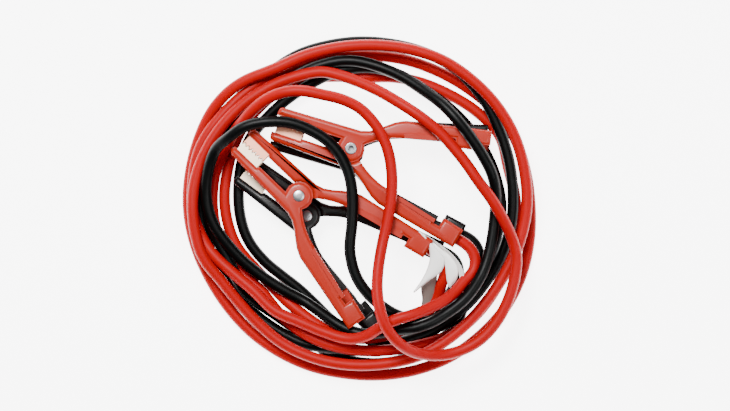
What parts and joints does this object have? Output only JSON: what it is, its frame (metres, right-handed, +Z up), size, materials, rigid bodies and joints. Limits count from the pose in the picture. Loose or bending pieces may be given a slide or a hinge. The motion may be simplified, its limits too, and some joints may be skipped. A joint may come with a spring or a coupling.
{
  "type": "car jumper cables",
  "caption": "Two insulated battery leads wound into a loose flat coil, with a sprung steel clamp with copper teeth crimped to each end.",
  "frame": {"origin": "under the middle of the clamps, on the surface the coil lies on", "axes": "+Z up from that surface, +X along the clamps' longest extent, towards the cable crimps"},
  "size_m": [0.265, 0.265, 0.0645],
  "materials": {
    "red_paint": "gloss",
    "black_paint": "gloss",
    "copper": "polished",
    "steel": "satin",
    "red_vinyl": "satin",
    "black_vinyl": "satin",
    "white_tag": "matt",
    "grey_tag": "matt"
  },
  "bodies": {
    "leads": {"red_clamp_1_wired_half": "red_paint", "red_clamp_1_wired_teeth": "copper", "red_clamp_1_rivet": "steel", "red_clamp_1_spring": "steel", "red_clamp_2_wired_half": "red_paint", "red_clamp_2_wired_teeth": "copper", "red_clamp_2_rivet": "steel", "red_clamp_2_spring": "steel", "black_clamp_1_wired_half": "black_paint", "black_clamp_1_wired_teeth": "copper", "black_clamp_1_rivet": "steel", "black_clamp_1_spring": "steel", "black_clamp_2_wired_half": "black_paint", "black_clamp_2_wired_teeth": "copper", "black_clamp_2_rivet": "steel", "black_clamp_2_spring": "steel", "coil": "red_vinyl", "red_tail_1": "red_vinyl", "red_loop": "red_vinyl", "red_tail_2": "red_vinyl", "black_tail_1": "black_vinyl", "black_loop": "black_vinyl", "black_tail_2": "black_vinyl", "white_tag": "white_tag", "grey_tag": "grey_tag"},
    "red_clamp_1_free": {"red_clamp_1_free_half": "red_paint", "red_clamp_1_free_teeth": "copper"},
    "red_clamp_2_free": {"red_clamp_2_free_half": "red_paint", "red_clamp_2_free_teeth": "copper"},
    "black_clamp_1_free": {"black_clamp_1_free_half": "black_paint", "black_clamp_1_free_teeth": "copper"},
    "black_clamp_2_free": {"black_clamp_2_free_half": "black_paint", "black_clamp_2_free_teeth": "copper"}
  },
  "joints": [
    {"name": "red_clamp_1_jaw", "type": "hinge", "parent": "leads", "child": "red_clamp_1_free", "pos_m": [-0.04575, 0.02109, 0.03035], "axis": [0, 0, 1], "range_deg": [0, 28], "stiffness_Nm_per_rad": 3.5, "springref_deg": -16.62, "deforming": ["red_clamp_1_spring"]},
    {"name": "red_clamp_2_jaw", "type": "hinge", "parent": "leads", "child": "red_clamp_2_free", "pos_m": [-0.00767, 0.0559, 0.03035], "axis": [0, 0, -1], "range_deg": [0, 28], "stiffness_Nm_per_rad": 3.5, "springref_deg": -16.62, "deforming": ["red_clamp_2_spring"]},
    {"name": "black_clamp_1_jaw", "type": "hinge", "parent": "leads", "child": "black_clamp_1_free", "pos_m": [-0.04054, 0.00629, 0.01], "axis": [0, 0, 1], "range_deg": [0, 28], "stiffness_Nm_per_rad": 3.5, "springref_deg": -16.62, "deforming": ["black_clamp_1_spring"]},
    {"name": "black_clamp_2_jaw", "type": "hinge", "parent": "leads", "child": "black_clamp_2_free", "pos_m": [-0.0083, 0.05368, 0.01], "axis": [0, 0, -1], "range_deg": [0, 28], "stiffness_Nm_per_rad": 3.5, "springref_deg": -16.62, "deforming": ["black_clamp_2_spring"]}
  ]
}
